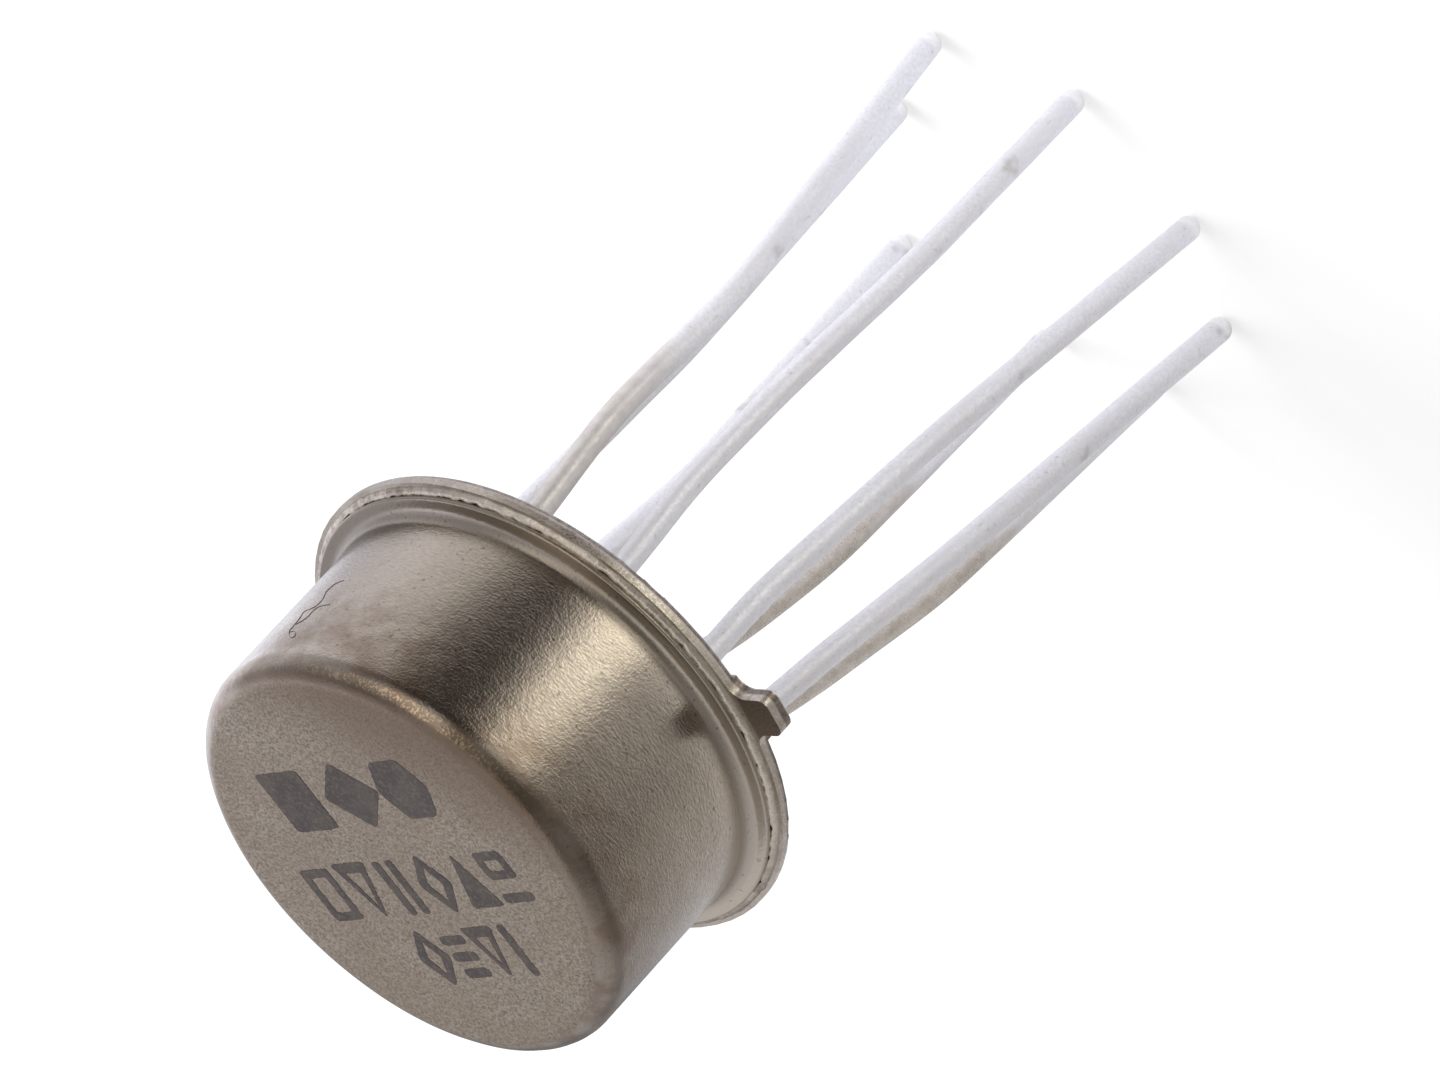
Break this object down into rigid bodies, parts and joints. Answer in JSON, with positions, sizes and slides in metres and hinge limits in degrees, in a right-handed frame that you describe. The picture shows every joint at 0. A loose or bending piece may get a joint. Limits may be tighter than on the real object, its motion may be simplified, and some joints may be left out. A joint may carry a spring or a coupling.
{
  "type": "voltage comparator",
  "caption": "Analogue voltage comparator in a round welded metal can, with an index tab and a ring of long solder-dipped wire leads sealed in glass.",
  "frame": {"origin": "centre of the seating plane, the underside of the glass stand-off in the middle of the header", "axes": "+Z towards the top of the cap; +X through the middle of the index tab and lead 8; leads 1 to 8 count counter-clockwise seen from above the cap"},
  "size_m": [0.0098, 0.0092, 0.0176],
  "materials": {
    "nickel_cap": "drawn nickel sheet, fine grain, a little dulled",
    "nickel_header": "stamped and nickel plated, satin",
    "seal_glass": "fused hard glass, dark and glossy",
    "solder_coat": "hot-dipped solder, satin",
    "silicon": "polished silicon",
    "gold_preform": "gold-silicon solder",
    "gold_wire": "bright drawn gold"
  },
  "bodies": {
    "root": {"cap": "nickel_cap", "header": "nickel_header", "glass_seal": "seal_glass", "lead_1": "solder_coat", "lead_2": "solder_coat", "lead_3": "solder_coat", "lead_4": "solder_coat", "lead_5": "solder_coat", "lead_6": "solder_coat", "lead_7": "solder_coat", "lead_8": "solder_coat", "die": "silicon", "die_attach": "gold_preform", "bond_wire_1": "gold_wire", "bond_wire_2": "gold_wire", "bond_wire_3": "gold_wire", "bond_wire_4": "gold_wire", "bond_wire_5": "gold_wire", "bond_wire_6": "gold_wire", "bond_wire_7": "gold_wire", "bond_wire_8": "gold_wire"}
  },
  "joints": []
}
